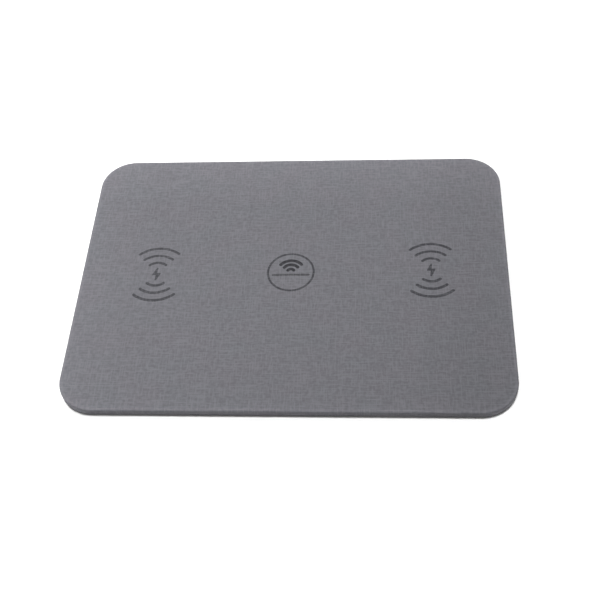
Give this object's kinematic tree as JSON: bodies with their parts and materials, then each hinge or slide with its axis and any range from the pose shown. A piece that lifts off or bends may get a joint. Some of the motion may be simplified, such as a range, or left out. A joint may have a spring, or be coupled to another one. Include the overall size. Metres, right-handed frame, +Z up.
{
  "type": "wireless charging pad",
  "caption": "Flat rounded-corner desk pad covered in grey linen-look cloth, with charging coils in a row under printed marks, a dark base on rubber feet and a rear power socket.",
  "frame": {"origin": "middle of the footprint, on the plane that the rubber feet stand on", "axes": "+X along the long side to the right as seen from the front, +Y to the rear edge with the power socket, +Z up through the cloth top"},
  "size_m": [0.3, 0.22, 0.007],
  "materials": {
    "cloth": "grey linen-look weave with fine light and dark slubs",
    "ink": "black ink printed on the cloth",
    "base_plastic": "fine moulded texture",
    "panel_plastic": "satin moulded",
    "bezel_plastic": "smooth satin",
    "foot_rubber": "matte, slightly dusty",
    "screw_steel": "blackened steel",
    "socket_steel": "drawn steel, satin",
    "tongue_plastic": "satin moulded",
    "contact_gold": "gold-plated contacts",
    "circuit_board": "green solder mask",
    "chip": "fine moulding compound",
    "capacitor": "tan ceramic",
    "inductor": "pressed powder, matte",
    "crystal": "metal can",
    "litz_wire": "copper litz, lacquered",
    "ferrite": "sintered, matte",
    "sensor": "enamelled bead"
  },
  "bodies": {
    "root": {"fabric_cover": "cloth", "base_cover": "base_plastic", "top_panel": "panel_plastic", "port_bezel": "bezel_plastic", "usb_c_shell": "socket_steel", "usb_c_tongue": "tongue_plastic", "main_board": "circuit_board", "foot_front_left": "foot_rubber", "foot_front_middle": "foot_rubber", "foot_front_right": "foot_rubber", "foot_rear_left": "foot_rubber", "foot_rear_middle": "foot_rubber", "foot_rear_right": "foot_rubber", "screw_front_left": "screw_steel", "screw_front_right": "screw_steel", "screw_rear_left": "screw_steel", "screw_rear_right": "screw_steel", "screw_left_front": "screw_steel", "screw_left_rear": "screw_steel", "screw_right_front": "screw_steel", "screw_right_rear": "screw_steel", "coil_left": "litz_wire", "coil_centre": "litz_wire", "coil_right": "litz_wire", "ferrite_left": "ferrite", "ferrite_centre": "ferrite", "ferrite_right": "ferrite", "thermistor_left": "sensor", "thermistor_centre": "sensor", "thermistor_right": "sensor", "controller_chip": "chip", "power_input_chip": "chip", "driver_chip_left": "chip", "driver_chip_centre": "chip", "driver_chip_right": "chip", "resonance_capacitor_left_1": "capacitor", "resonance_capacitor_left_2": "capacitor", "resonance_capacitor_centre_1": "capacitor", "resonance_capacitor_centre_2": "capacitor", "resonance_capacitor_right_1": "capacitor", "resonance_capacitor_right_2": "capacitor", "input_capacitor": "capacitor", "output_capacitor": "capacitor", "input_inductor": "inductor", "output_inductor": "inductor", "clock_crystal": "crystal"}
  },
  "joints": []
}
